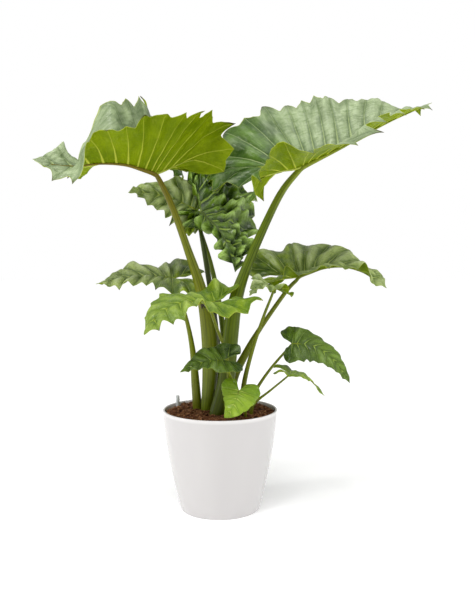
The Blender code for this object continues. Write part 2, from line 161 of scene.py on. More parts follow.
def pick(piece):
    deselectAll()
    piece.select_set(True)
    bpy.context.view_layer.objects.active = piece


def applyAll(piece):
    pick(piece)
    for modifier in list(piece.modifiers):
        bpy.ops.object.modifier_apply(modifier=modifier.name)
    bpy.ops.object.transform_apply(location=True, rotation=True, scale=True)


def smoothUpTo(degrees):
    bpy.ops.object.shade_smooth_by_angle(angle=math.radians(degrees))


def editAll():
    bpy.ops.object.mode_set(mode="EDIT")
    bpy.ops.mesh.select_all(action="SELECT")


def leaveEdit():
    bpy.ops.object.mode_set(mode="OBJECT")


def turnFacesOut():
    bpy.ops.mesh.select_all(action="SELECT")
    bpy.ops.mesh.normals_make_consistent(inside=False)
    leaveEdit()


def cutIntoRings(cylinder, count):  # its upright edges are cut into that many lengths
    bpy.ops.object.mode_set(mode="EDIT")
    bpy.ops.mesh.select_all(action="DESELECT")
    edit = bmesh.from_edit_mesh(cylinder.data)
    for edge in edit.edges:
        edge.select = abs(edge.verts[0].co.z - edge.verts[1].co.z) > 0.5
    bmesh.update_edit_mesh(cylinder.data)
    bpy.ops.mesh.subdivide(number_cuts=count - 1)
    leaveEdit()


def turnedShape(rings, sides, x=0.0, y=0.0):  # a closed round shape through rings of (radius, height)
    deselectAll()
    bpy.ops.mesh.primitive_circle_add(vertices=sides, radius=rings[0][0], fill_type="NGON",
                                      location=(x, y, rings[0][1]))
    piece = bpy.context.object
    editAll()
    for (before, low), (after, high) in zip(rings, rings[1:]):
        bpy.ops.mesh.extrude_region_move(TRANSFORM_OT_translate={"value": (0, 0, high - low)})
        bpy.ops.transform.resize(value=(after / before, after / before, 1), center_override=(x, y, high))
    turnFacesOut()
    applyAll(piece)
    return piece


def place(piece, name, slot, *nodes):
    piece.name = piece.data.name = name
    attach(piece, "root")
    if nodes:
        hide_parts(*nodes)
    return piece


def wear(piece, *materials):
    piece.data.materials.clear()
    for material in materials:
        piece.data.materials.append(material)


def unit(vector):
    vector = np.asarray(vector, float)
    return vector / np.linalg.norm(vector)


def smoothCurve(points, count):
    p = np.asarray(points, float)
    p = np.vstack([2 * p[0] - p[1], p, 2 * p[-1] - p[-2]])
    t = np.linspace(0, 1, 24, endpoint=False)[:, None]
    runs = []
    for a, b, c, d in zip(p, p[1:], p[2:], p[3:]):
        bend = (2 * a - 5 * b + 4 * c - d) * t ** 2 + (3 * b - a - 3 * c + d) * t ** 3
        runs.append(b + 0.5 * ((c - a) * t + bend))
    fine = np.vstack(runs + [p[-2:-1]])
    steps = np.linalg.norm(np.diff(fine[:, :3], axis=0), axis=1)
    length = np.concatenate([[0], np.cumsum(steps)])
    at = np.linspace(0, length[-1], count)
    return np.stack([np.interp(at, length, column) for column in fine.T], axis=1)


def eased(values, share):  # values spread over 0..1 with soft steps between them
    values = np.asarray(values, float)
    spot = np.clip(share, 0, 1) * (len(values) - 1)
    low = np.minimum(spot.astype(int), len(values) - 2)
    step = spot - low
    step = step * step * (3 - 2 * step)
    return values[low] * (1 - step) + values[low + 1] * step


def fadeIn(value, low, high):
    t = np.clip((value - low) / (high - low), 0, 1)
    return t * t * (3 - 2 * t)


def addMeasure(mesh, name, values, kind="FLOAT"):
    layer = mesh.attributes.new(name, kind, "POINT")
    field = "value" if kind == "FLOAT" else "vector"
    layer.data.foreach_set(field, np.ascontiguousarray(values, np.float32).ravel())


# a tube along (x, y, z, radius) points; shape(angle, height) swells or pinches it
def sweepTube(line, sides, shape=None):
    rings = len(line) - 1
    deselectAll()
    bpy.ops.mesh.primitive_cylinder_add(vertices=sides, radius=1, depth=1)
    piece = bpy.context.object
    cutIntoRings(piece, rings)

    ahead = np.gradient(line[:, :3], axis=0)
    ahead /= np.linalg.norm(ahead, axis=1)[:, None]
    across = np.zeros_like(ahead)
    reference = np.array((0.0, -1.0, 0.0))
    for i, forward in enumerate(ahead):
        reference = unit(reference - forward * (reference @ forward))
        across[i] = reference
    third = np.cross(ahead, across)

    raw = np.array([v.co for v in piece.data.vertices])
    ring = np.rint((raw[:, 2] + 0.5) * rings).astype(int)
    angle = np.arctan2(raw[:, 1], raw[:, 0])
    along = ring / rings
    radius = line[ring, 3] * (shape(angle, line[ring, 2]) if shape else 1)
    out = across[ring] * np.cos(angle)[:, None] + third[ring] * np.sin(angle)[:, None]
    spots = line[ring, :3] + out * radius[:, None]
    piece.data.vertices.foreach_set("co", spots.astype(np.float32).ravel())
    distance = np.concatenate([[0], np.cumsum(np.linalg.norm(np.diff(line[:, :3], axis=0), axis=1))])
    grain = np.stack([np.cos(angle), np.sin(angle), distance[ring] * 6], axis=1)
    addMeasure(piece.data, "along", along)
    addMeasure(piece.data, "grain", grain, "FLOAT_VECTOR")
    piece.data.update()
    pick(piece)
    editAll()
    turnFacesOut()
    smoothUpTo(50)
    return piece


def joinPieces(pieces):
    deselectAll()
    for piece in pieces:
        piece.select_set(True)
    bpy.context.view_layer.objects.active = pieces[0]
    bpy.ops.object.join()
    return bpy.context.object


# the planter

potSettings = {
    "foot": 0.097, "belly": 1.5, "wall": 0.0045, "floor": 0.005,
    "round": 0.0016, "rows": 26, "sides": 128,
    # the lip colour is a painted highlight, a lighter white on the top of the pot inside and out
    "shell": tone(207, 204, 203), "shade": tone(200, 197, 197), "paintedLipLight": tone(230, 227, 226),
    "paintedLipStart": 0.010, "paintedLipFull": 0.0025,  # below the rim: where the painted highlight on the lip starts, and where it is full
}


def potRadius(height):
    swell = 1 - (1 - min(max(height / rimHeight, 0), 1)) ** potSettings["belly"]
    return potSettings["foot"] + (rimRadius - potSettings["foot"]) * swell


def potFinish():
    look = Finish("glossyWhiteShell", Roughness=0.16, Coat_Weight=0.4, Coat_Roughness=0.06)
    spot = look.objectPoint((1, 1, 0.25))
    cloud = look.noise(spot, 7.0, 2.0)
    fine = look.noise(look.objectPoint(), 60.0, 4.0)
    colour = look.mix(look.band(cloud, 0.35, 0.7, 0.0, 0.6), potSettings["shell"], potSettings["shade"])
    height = look.node("SeparateXYZ", None, {"Vector": look.objectPoint()}, "Z")
    # painted highlight: the top of the shell, lip and inner wall, is painted lighter towards the rim as if
    # lit from above
    paintedLipLight = look.band(height, rimHeight - potSettings["paintedLipStart"], rimHeight - potSettings["paintedLipFull"])
    colour = look.mix(paintedLipLight, colour, potSettings["paintedLipLight"])
    rough = look.band(fine, 0.3, 0.7, 0.13, 0.2)
    normal = look.bump(look.noise(look.objectPoint(), 22.0, 1.0), 0.05, 0.001)
    return look.set(Base_Color=colour, Roughness=rough, Normal=normal)


def ringProfile():
    wall, edge = potSettings["wall"], potSettings["round"]
    heights = np.linspace(0, rimHeight, potSettings["rows"])[1:-1]
    corner = [(1 - math.cos(a), math.sin(a)) for a in np.radians((0, 30, 60, 90))]
    rings = [(potSettings["foot"] - edge * 1.6, 0.0)]
    rings += [(potSettings["foot"] - edge * x, edge * (1 - y)) for x, y in reversed(corner[:3])]
    rings += [(potRadius(z), z) for z in heights]
    rings += [(rimRadius - edge * x, rimHeight - edge + edge * y) for x, y in corner]
    inside = rimRadius - wall
    rings += [(inside + edge * x, rimHeight - edge + edge * y) for x, y in reversed(corner[:3])]
    rings += [(potRadius(z) - wall, z) for z in reversed(heights[2:])]
    return rings + [(potRadius(potSettings["floor"]) - wall, potSettings["floor"])]


def makePot():
    pot = turnedShape(ringProfile(), potSettings["sides"])
    smoothUpTo(35)
    wear(pot, potFinish())
    return place(pot, "planterShell", "planter", "planter")


makePot()
print("planter made")


# the potting mix, a lumpy bed with loose bark on it, and the gauge that stands in it

# gap is left to the planter's wall, and shoulder is the height of the bed's sloping edge; a chip's
# clear and lift are shares of its size
mixSettings = {
    "mound": 0.003, "heap": 0.003, "lumps": 0.0022, "lumpSize": 0.016,
    "gap": 0.0006, "shoulder": 0.004, "levels": 8, "rings": 34, "sides": 112,
    "dark": tone(28, 14, 7), "brown": tone(124, 74, 40), "pale": tone(200, 146, 98),
}
barkSettings = {
    "kinds": 6, "pieces": 560, "smallest": 0.0045, "largest": 0.0115, "seed": 12,
    "clear": 0.45, "tilt": 0.6, "lift": 0.22, "stretch": 1.25,
}
gaugeSettings = {
    "place": (-0.108, 0.060), "tube": 0.0046, "low": -0.060, "sides": 32,
    # share of the tube's radius and height above the rim, with a collar and a round top
    "profile": ((1, 0.009), (1.12, 0.0095), (1.12, 0.0125), (1, 0.013), (1, 0.0195),
                (0.9, 0.0213), (0.62, 0.0223), (0.3, 0.0225)),
    "clear": tone(236, 240, 240), "haze": tone(186, 192, 194),
}


def barkFinish(name, darkest):
    look = Finish(name, Specular_IOR_Level=0.3)
    spot = look.objectPoint()
    patch = look.noise(spot, 95.0, 2.0)
    grain = look.noise(look.objectPoint((1, 1, 3.0)), 420.0, 4.0, 0.65)
    stops = [(0.3, darkest), (0.5, mixSettings["brown"]), (0.72, mixSettings["pale"])]
    colour = look.node("ValToRGB", {"stops": stops}, {"Fac": patch})
    colour = look.mix(look.band(grain, 0.35, 0.65, 0.75, 0.0), colour, mixSettings["dark"])
    rough = look.band(grain, 0.3, 0.7, 0.95, 0.7)
    return look.set(Base_Color=colour, Roughness=rough, Normal=look.bump(grain, 0.8, 0.0012))


def surfaceOfMix(x, y):
    radius = math.hypot(x, y)
    lump = noise.noise(Vector((x, y, 0)) / mixSettings["lumpSize"]) + 0.5 * noise.noise(
        Vector((x, y, 1)) / (mixSettings["lumpSize"] * 0.4))
    crown = mixSettings["mound"] * (1 - (radius / rimRadius) ** 2)
    return mixLevel + crown + mixSettings["heap"] + lump * mixSettings["lumps"]


def innerRadius(height):
    return potRadius(height) - potSettings["wall"] - mixSettings["gap"]


def makeMix():
    low = potSettings["floor"] + mixSettings["gap"]
    heights = np.linspace(low, mixLevel - mixSettings["shoulder"], mixSettings["levels"])
    edge, count = innerRadius(mixLevel), mixSettings["rings"]
    rings = [(innerRadius(z), z) for z in heights]
    rings += [(edge * (1 - ring / count), mixLevel) for ring in range(1, count)]
    bed = turnedShape(rings, mixSettings["sides"])
    for vertex in bed.data.vertices:
        if vertex.co.z > mixLevel - 0.001:
            vertex.co.z = surfaceOfMix(vertex.co.x, vertex.co.y)
    smoothUpTo(60)
    wear(bed, barkFinish("darkPeat", mixSettings["dark"]))
    return place(bed, "mixBed", "mix", "potting_mix")


def makeBarkKind(kind):
    deselectAll()
    bpy.ops.mesh.primitive_cube_add(size=1)
    chip = bpy.context.object
    editAll()
    bpy.ops.transform.resize(value=(1.0, 0.62 - 0.04 * kind, 0.26 + 0.03 * (kind % 3)))
    bpy.ops.mesh.bevel(offset=0.07, segments=1)
    bpy.ops.transform.vertex_random(offset=0.11, seed=kind)
    leaveEdit()
    return chip


def makeBark():
    kinds = [makeBarkKind(kind) for kind in range(barkSettings["kinds"])]
    rng = random.Random(barkSettings["seed"])
    stems = [(x, y, leaf["radius"][0]) for leaf in leaves.values() for x, y, z in leaf["stalk"][:1]]
    stems.append((*gaugeSettings["place"], gaugeSettings["tube"]))
    reach = potRadius(mixLevel) - potSettings["wall"]
    chips = []
    while len(chips) < barkSettings["pieces"]:
        spread, turn = math.sqrt(rng.random()) * reach, rng.uniform(0, math.tau)
        size = rng.uniform(barkSettings["smallest"], barkSettings["largest"])
        x, y = spread * math.cos(turn), spread * math.sin(turn)
        clear = size * barkSettings["clear"]
        if spread > reach - size or any(math.dist((x, y), stem[:2]) < stem[2] + clear for stem in stems):
            continue
        chip = kinds[rng.randrange(len(kinds))].copy()
        chip.data = chip.data.copy()
        bpy.context.scene.collection.objects.link(chip)
        tilts = [rng.uniform(-barkSettings["tilt"], barkSettings["tilt"]) for _ in "XY"]
        tilt = Matrix.Rotation(tilts[0], 4, "X") @ Matrix.Rotation(tilts[1], 4, "Y")
        turned = Matrix.Rotation(rng.uniform(0, math.tau), 4, "Z") @ tilt
        height = surfaceOfMix(x, y) + size * rng.uniform(0.0, barkSettings["lift"])
        grown = Matrix.Scale(size * barkSettings["stretch"], 4)
        chip.data.transform(Matrix.Translation((x, y, height)) @ turned @ grown)
        chips.append(chip)
    for kind in kinds:
        bpy.data.objects.remove(kind, do_unlink=True)
    bark = joinPieces(chips)
    wear(bark, barkFinish("looseBark", mixSettings["brown"]))
    return place(bark, "looseBark", "mix")


def gaugeFinish():
    look = Finish("greyClearPlastic", Roughness=0.12, Coat_Weight=0.5, Coat_Roughness=0.05)
    spot = look.objectPoint((1, 1, 0.4))
    haze = look.noise(spot, 140.0, 2.0)
    share = look.band(haze, 0.35, 0.65, 0.0, 0.7)
    colour = look.mix(share, gaugeSettings["clear"], gaugeSettings["haze"])
    return look.set(Base_Color=colour, Roughness=look.band(haze, 0.3, 0.7, 0.08, 0.2))


def makeGauge():
    radius = gaugeSettings["tube"]
    rings = [(radius, mixLevel + gaugeSettings["low"])]
    rings += [(radius * share, rimHeight + above) for share, above in gaugeSettings["profile"]]
    tube = turnedShape(rings, gaugeSettings["sides"], *gaugeSettings["place"])
    smoothUpTo(35)
    wear(tube, gaugeFinish())
    return place(tube, "gaugeTube", "gauge", "level_gauge")


# the leaves: the flat outline of half a blade, x from lobe (-1) to tip (1), y its half width

cleft = 0.05  # how far behind the stalk the cleft between the lobes ends
outline = [(-cleft, 0.0), (-0.40, 0.15), (-0.80, 0.30), (-1.0, 0.58), (-0.86, 0.85), (-0.42, 1.0),
           (0.0, 0.95), (0.25, 0.80), (0.5, 0.58), (0.73, 0.35), (0.90, 0.15), (1.0, 0.0)]
lobeRib = (-0.62, 0.42)  # where the rib of a lobe ends
marginSteps = 400  # points that the smoothed outline is worked out at

toothBrown = tone(52, 44, 20)
skyward = unit((-0.1, -0.5, 0.9))  # what faces this way takes the painted sheen, a pale colour standing in for the reflection of the overhead light

# Colours above: upper, deep (random mottle, and the painted shade in hollows and beside veins), vein, pale
# for the painted sheen where the blade faces up, and the painted highlight on bulges. The under ones are for
# the underside.
# Shares: the painted shade beside veins, mottle, the painted sheen, depth of the painted shade in hollows,
# and the painted highlight on bulges.
leafLooks = {
    "tall": tones(
        upper=(96, 130, 44), deep=(48, 80, 12), vein=(176, 194, 130), pale=(188, 203, 160),
        under=(130, 150, 0), underDeep=(104, 126, 0), underVein=(184, 192, 66), hollow=0.55, rough=0.28,
        coat=0.3, mottle=0.3, bloom=0.88, gleam=(196, 212, 170), depth=0.35, shine=0.3),
    "dark": tones(
        upper=(94, 126, 0), deep=(36, 62, 0), vein=(150, 176, 70), pale=(150, 178, 84), under=(90, 118, 0),
        underDeep=(58, 84, 0), underVein=(150, 166, 50), hollow=0.5, rough=0.20, coat=0.25, mottle=0.5,
        bloom=0.25, gleam=(186, 210, 132), depth=0.4, shine=0.2),
    "glossy": tones(
        upper=(104, 140, 0), deep=(24, 50, 0), vein=(150, 176, 70), pale=(150, 178, 84), under=(90, 118, 0),
        underDeep=(58, 84, 0), underVein=(150, 166, 50), hollow=0.8, rough=0.20, coat=0.4, mottle=0.5,
        bloom=0.35, gleam=(186, 220, 116), depth=0.85, shine=0.75),
    "mid": tones(
        upper=(150, 174, 34), deep=(66, 94, 0), vein=(176, 192, 104), pale=(192, 206, 144),
        under=(120, 142, 0), underDeep=(80, 104, 0), underVein=(166, 176, 60), hollow=0.75, rough=0.24,
        coat=0.35, mottle=0.55, bloom=0.6, gleam=(204, 216, 164), depth=0.65, shine=0.6),
    "bright": tones(
        upper=(126, 152, 8), deep=(72, 106, 0), vein=(168, 190, 70), pale=(172, 196, 92),
        under=(128, 146, 0), underDeep=(98, 118, 0), underVein=(176, 186, 60), hollow=0.65, rough=0.26,
        coat=0.3, mottle=0.5, bloom=0.5, gleam=(190, 212, 104), depth=0.5, shine=0.5),
    "lime": tones(
        upper=(132, 166, 0), deep=(98, 134, 0), vein=(196, 212, 90), pale=(170, 198, 64),
        under=(138, 164, 6), underDeep=(108, 136, 0), underVein=(186, 200, 80), hollow=0.5, rough=0.30,
        coat=0.3, mottle=0.35, bloom=0.4, gleam=(190, 214, 90), depth=0.35, shine=0.4),
}

# Metres and degrees; places count from the middle of the mix. Pairs are (left half, right half)
# looking towards the tip with the upper side up. fold and curl run evenly from the lobe's end to
# the tip. veins counts cleft side, lobe side and front, and rings is the mesh from rib to margin.
leaves = {
    "upper_left": dict(
        rib=[(-0.157, -0.010, 0.584), (-0.216, -0.070, 0.595), (-0.282, -0.125, 0.589),
             (-0.335, -0.160, 0.577), (-0.400, -0.185, 0.588)],
        up=(-0.1, 0.05, 1), width=(0.18, 0.19), lobe=(0.115, 0.12), lobeDrop=28, veins=(2, 4, 10), waves=4,
        fold=((42, 44, 46, 49, 52, 54, 56, 55, 54, 51, 48, 45, 42, 39, 36, 36, 36, 36, 36, 35, 28, -30, -50,
               -50, -40),
              (60, 60, 60, 60, 62, 64, 66, 70, 74, 78, 80, 82, 84, 86, 88, 92, 96, 40, 0, 10, 40, 60, 62,
               52, 40)),
        curl=((-10, -10), (-15, -15)), seed=3, rings=38, look="tall",
        crumple=0.0006, frill=0.009, ruffle=0.007, tooth=0.13, quilt=0.0035,
        stalk=[(-0.034, 0.004, 0.0), (-0.024, 0.004, 0.10), (-0.026, 0.004, 0.20), (-0.045, 0.002, 0.30),
               (-0.078, 0.0, 0.40), (-0.114, -0.002, 0.50), (-0.146, -0.006, 0.568)],
        radius=(0.0135, 0.0195, 0.0205, 0.014, 0.0095, 0.0080, 0.0062)),
    "upper_right": dict(
        rib=[(0.202, 0.0, 0.605), (0.304, 0.0, 0.655), (0.406, 0.015, 0.711), (0.525, 0.03, 0.764)],
        up=(-0.3, 0, 1), width=(0.22, 0.17), lobe=(0.18, 0.16), lobeDrop=22, veins=(3, 5, 10), waves=4,
        fold=((50, 58, 63, 62, 66, 58, 10), (5, 20, 22, 8, 3, 3, 5)),
        curl=((-15, -15), (-10, -10)), seed=5, rings=38, look="tall",
        crumple=0.0006, frill=0.01, ruffle=0.007, tooth=0.17, quilt=0.0035,
        stalk=[(-0.010, -0.040, 0.0), (0.014, -0.026, 0.08), (0.024, -0.020, 0.18), (0.036, -0.012, 0.27),
               (0.062, -0.004, 0.35), (0.105, 0.0, 0.45), (0.150, 0.0, 0.54), (0.192, 0.0, 0.592)],
        radius=(0.0170, 0.0200, 0.0195, 0.0175, 0.0125, 0.0100, 0.0085, 0.0070)),
    "centre_right": dict(
        rib=[(-0.047, 0.07, 0.497), (0.0, 0.035, 0.450), (0.025, 0.01, 0.393), (0.037, 0.002, 0.345)],
        up=(0.1, -0.75, 0.6), width=(0.18, 0.045), lobe=(0.16, 0.035), lobeDrop=-10, veins=(2, 3, 6),
        waves=4,
        fold=((5, 0, 0, -10, -20, -25, -30), (-30, -30, -35, -40, -70, -80, -80)),
        curl=((-15, -15), (-20, -20)), seed=7, rings=34, look="glossy",
        crumple=0.006, frill=0.018, ruffle=0.011, tooth=0.17, quilt=0.008,
        stalk=[(0.000, 0.040, 0.0), (-0.004, 0.042, 0.12), (-0.016, 0.050, 0.24), (-0.034, 0.070, 0.36),
               (-0.050, 0.094, 0.455)],
        radius=(0.0095, 0.0085, 0.0075, 0.0065, 0.0050)),
    "centre_left": dict(
        rib=[(-0.064, 0.125, 0.508), (-0.114, 0.123, 0.533), (-0.176, 0.110, 0.548), (-0.234, 0.090, 0.548)],
        up=(-0.2, -0.55, 1), width=(0.085, 0.11), lobe=(0.030, 0.045), lobeDrop=0, veins=(1, 2, 6), waves=4,
        fold=((-10, -10, -15), (20, 20, 10)),
        curl=((-25, -25), (-25, -25)), seed=9, rings=26, look="mid",
        crumple=0.0016, frill=0.01, ruffle=0.010, tooth=0.13, quilt=0.008,
        stalk=[(0.016, 0.062, 0.0), (0.014, 0.064, 0.12), (0.002, 0.072, 0.24), (-0.022, 0.100, 0.36),
               (-0.056, 0.146, 0.468)],
        radius=(0.0090, 0.0080, 0.0070, 0.0060, 0.0048)),
    "mid_left": dict(
        rib=[(-0.123, 0.080, 0.331), (-0.184, 0.071, 0.336), (-0.246, 0.052, 0.330), (-0.308, 0.032, 0.316)],
        up=(0, -0.1, 1), width=(0.085, 0.10), lobe=(0.08, 0.08), lobeDrop=10, veins=(1, 2, 6), waves=3.5,
        fold=((-10, -10, -15), (25, 25, 20, 10)),
        curl=((-15, -15), (-10, -10)), seed=11, rings=26, look="mid",
        crumple=0.001, frill=0.008, ruffle=0.009, tooth=0.14, quilt=0.008,
        stalk=[(-0.056, 0.022, 0.0), (-0.061, 0.020, 0.07), (-0.068, 0.026, 0.15), (-0.084, 0.048, 0.225),
               (-0.112, 0.073, 0.312)],
        radius=(0.0115, 0.0105, 0.0072, 0.0050, 0.0040)),
    "front": dict(
        rib=[(-0.028, -0.124, 0.278), (-0.083, -0.150, 0.280), (-0.131, -0.182, 0.258),
             (-0.162, -0.215, 0.213)],
        up=(0.05, -0.1, 1), width=(0.11, 0.098), lobe=(0.10, 0.105), lobeDrop=-20, veins=(1, 3, 6),
        waves=3.5,
        fold=((14, 8, 2, 0, -5), (26, 20, 10, 5)),
        curl=((-15, -15), (-20, -20)), seed=13, rings=28, look="bright",
        crumple=0.0009, frill=0.009, ruffle=0.009, tooth=0.13, quilt=0.008,
        stalk=[(0.022, -0.060, 0.0), (0.022, -0.062, 0.07), (0.015, -0.065, 0.15), (-0.007, -0.088, 0.215),
               (-0.022, -0.119, 0.262)],
        radius=(0.0060, 0.0052, 0.0042, 0.0038, 0.0034)),
    "mid_right": dict(
        rib=[(0.20, 0.05, 0.336), (0.27, 0.04, 0.358), (0.34, 0.02, 0.352), (0.41, 0.0, 0.306)],
        up=(0, -0.1, 1), width=(0.14, 0.075), lobe=(0.12, 0.09), lobeDrop=5, veins=(2, 3, 7), waves=3.5,
        fold=((50, 45, 33, 10), (25, 25, 20, -5)),
        curl=((-20, -20), (-20, -20)), seed=15, rings=28, look="mid",
        crumple=0.001, frill=0.009, ruffle=0.009, tooth=0.13, quilt=0.008,
        stalk=[(0.024, 0.016, 0.0), (0.034, 0.024, 0.08), (0.066, 0.036, 0.145), (0.098, 0.042, 0.20),
               (0.165, 0.048, 0.295), (0.192, 0.050, 0.324)],
        radius=(0.0115, 0.0110, 0.0090, 0.0062, 0.0052, 0.0046)),
    "small_right": dict(
        rib=[(0.127, -0.030, 0.308), (0.106, -0.048, 0.317), (0.086, -0.060, 0.310), (0.069, -0.070, 0.290)],
        up=(0, -0.2, 1), width=(0.05, 0.045), lobe=(0.035, 0.035), lobeDrop=15, veins=(1, 1, 5), waves=3,
        fold=((10, 10, 0), (15, 15, 15)),
        curl=((-20, -20), (-25, -25)), seed=17, rings=18, look="mid",
        crumple=0.001, frill=0.006, ruffle=0.007, tooth=0.16, quilt=0.003,
        stalk=[(0.050, -0.004, 0.0), (0.060, -0.004, 0.08), (0.080, -0.012, 0.16), (0.106, -0.020, 0.24),
               (0.126, -0.031, 0.294)],
        radius=(0.0070, 0.0060, 0.0045, 0.0036, 0.0030)),
    "low_right": dict(
        rib=[(0.176, -0.02, 0.172), (0.225, -0.03, 0.168), (0.272, -0.04, 0.135), (0.311, -0.05, 0.080)],
        up=(0.3, -0.8, 0.8), width=(0.055, 0.05), lobe=(0.03, 0.02), lobeDrop=15, veins=(1, 1, 7), waves=3,
        fold=((20, 10, 0), (-10, -10, -10)),
        curl=((-25, -25), (-20, -20)), seed=19, rings=26, look="dark",
        crumple=0.0004, frill=0.004, ruffle=0.004, tooth=0.10, quilt=0.0035,
        stalk=[(0.070, -0.016, 0.0), (0.084, -0.012, 0.05), (0.120, -0.008, 0.105), (0.165, -0.010, 0.158)],
        radius=(0.0050, 0.0042, 0.0034, 0.0028)),
    "low_right_small": dict(
        rib=[(0.169, -0.05, 0.106), (0.20, -0.055, 0.100), (0.225, -0.06, 0.078), (0.248, -0.07, 0.052)],
        up=(0.4, 0.1, 1), width=(0.04, 0.035), lobe=(0.04, 0.04), lobeDrop=15, veins=(1, 1, 5), waves=3,
        fold=((40, 25, 0), (0, 0, -10)),
        curl=((-25, -25), (-20, -20)), seed=21, rings=18, look="bright",
        crumple=0.0004, frill=0.003, ruffle=0.003, tooth=0.08, quilt=0.0015,
        stalk=[(0.074, -0.040, 0.0), (0.082, -0.041, 0.030), (0.120, -0.044, 0.062), (0.158, -0.048, 0.094)],
        radius=(0.0045, 0.0036, 0.0026, 0.0022)),
    "low_front": dict(
        rib=[(0.004, -0.127, 0.147), (-0.030, -0.142, 0.147), (-0.059, -0.152, 0.137),
             (-0.089, -0.162, 0.125)],
        up=(0, -0.5, 1), width=(0.04, 0.048), lobe=(0.045, 0.055), lobeDrop=15, veins=(1, 2, 5), waves=3,
        fold=((0, 0, 0), (35, 30, 20, 10)),
        curl=((-25, -25), (-20, -20)), seed=23, rings=22, look="dark",
        crumple=0.0005, frill=0.004, ruffle=0.003, tooth=0.07, quilt=0.003,
        stalk=[(0.038, -0.076, 0.0), (0.035, -0.073, 0.05), (0.026, -0.080, 0.10), (0.010, -0.117, 0.133)],
        radius=(0.0038, 0.0034, 0.0028, 0.0024)),
    "young": dict(
        rib=[(0.043, -0.108, 0.073), (0.036, -0.119, 0.053), (0.025, -0.126, 0.033), (0.009, -0.129, 0.015)],
        up=(0, -1, 0.6), width=(0.05, 0.043), lobe=(0.030, 0.030), lobeDrop=15, veins=(1, 1, 5), waves=3,
        fold=((0, 0, 0), (0, 0, -10)),
        curl=((-25, -25), (-20, -20)), seed=25, rings=22, look="lime",
        crumple=0.0003, frill=0.003, ruffle=0.002, tooth=0.05, quilt=0.0025,
        stalk=[(0.060, -0.072, 0.0), (0.058, -0.078, 0.035), (0.051, -0.096, 0.064)],
        radius=(0.0032, 0.0028, 0.0022)),
}

bladeThickness = 0.0008
weldDistance = 0.00025  # joins the two halves along the midrib
ribDepth = 0.0014       # how far a side vein stands out under the blade
stepsPerVein = (0.0, 0.025, 0.06, 0.11, 0.18, 0.27, 0.37, 0.46, 0.54, 0.63, 0.73, 0.82, 0.89, 0.94, 0.975)
stalkDepth = 0.02       # how far a stalk goes down into the mix


def ribFrames(leaf, count=60):
    rib = smoothCurve(leaf["rib"], count)
    forward = np.gradient(rib, axis=0)
    forward /= np.linalg.norm(forward, axis=1)[:, None]
    upward = np.zeros_like(forward)
    up = unit(leaf["up"])
    for i, ahead in enumerate(forward):
        up = unit(up - ahead * (up @ ahead))
        upward[i] = up
    return rib, forward, upward, np.cross(upward, forward)


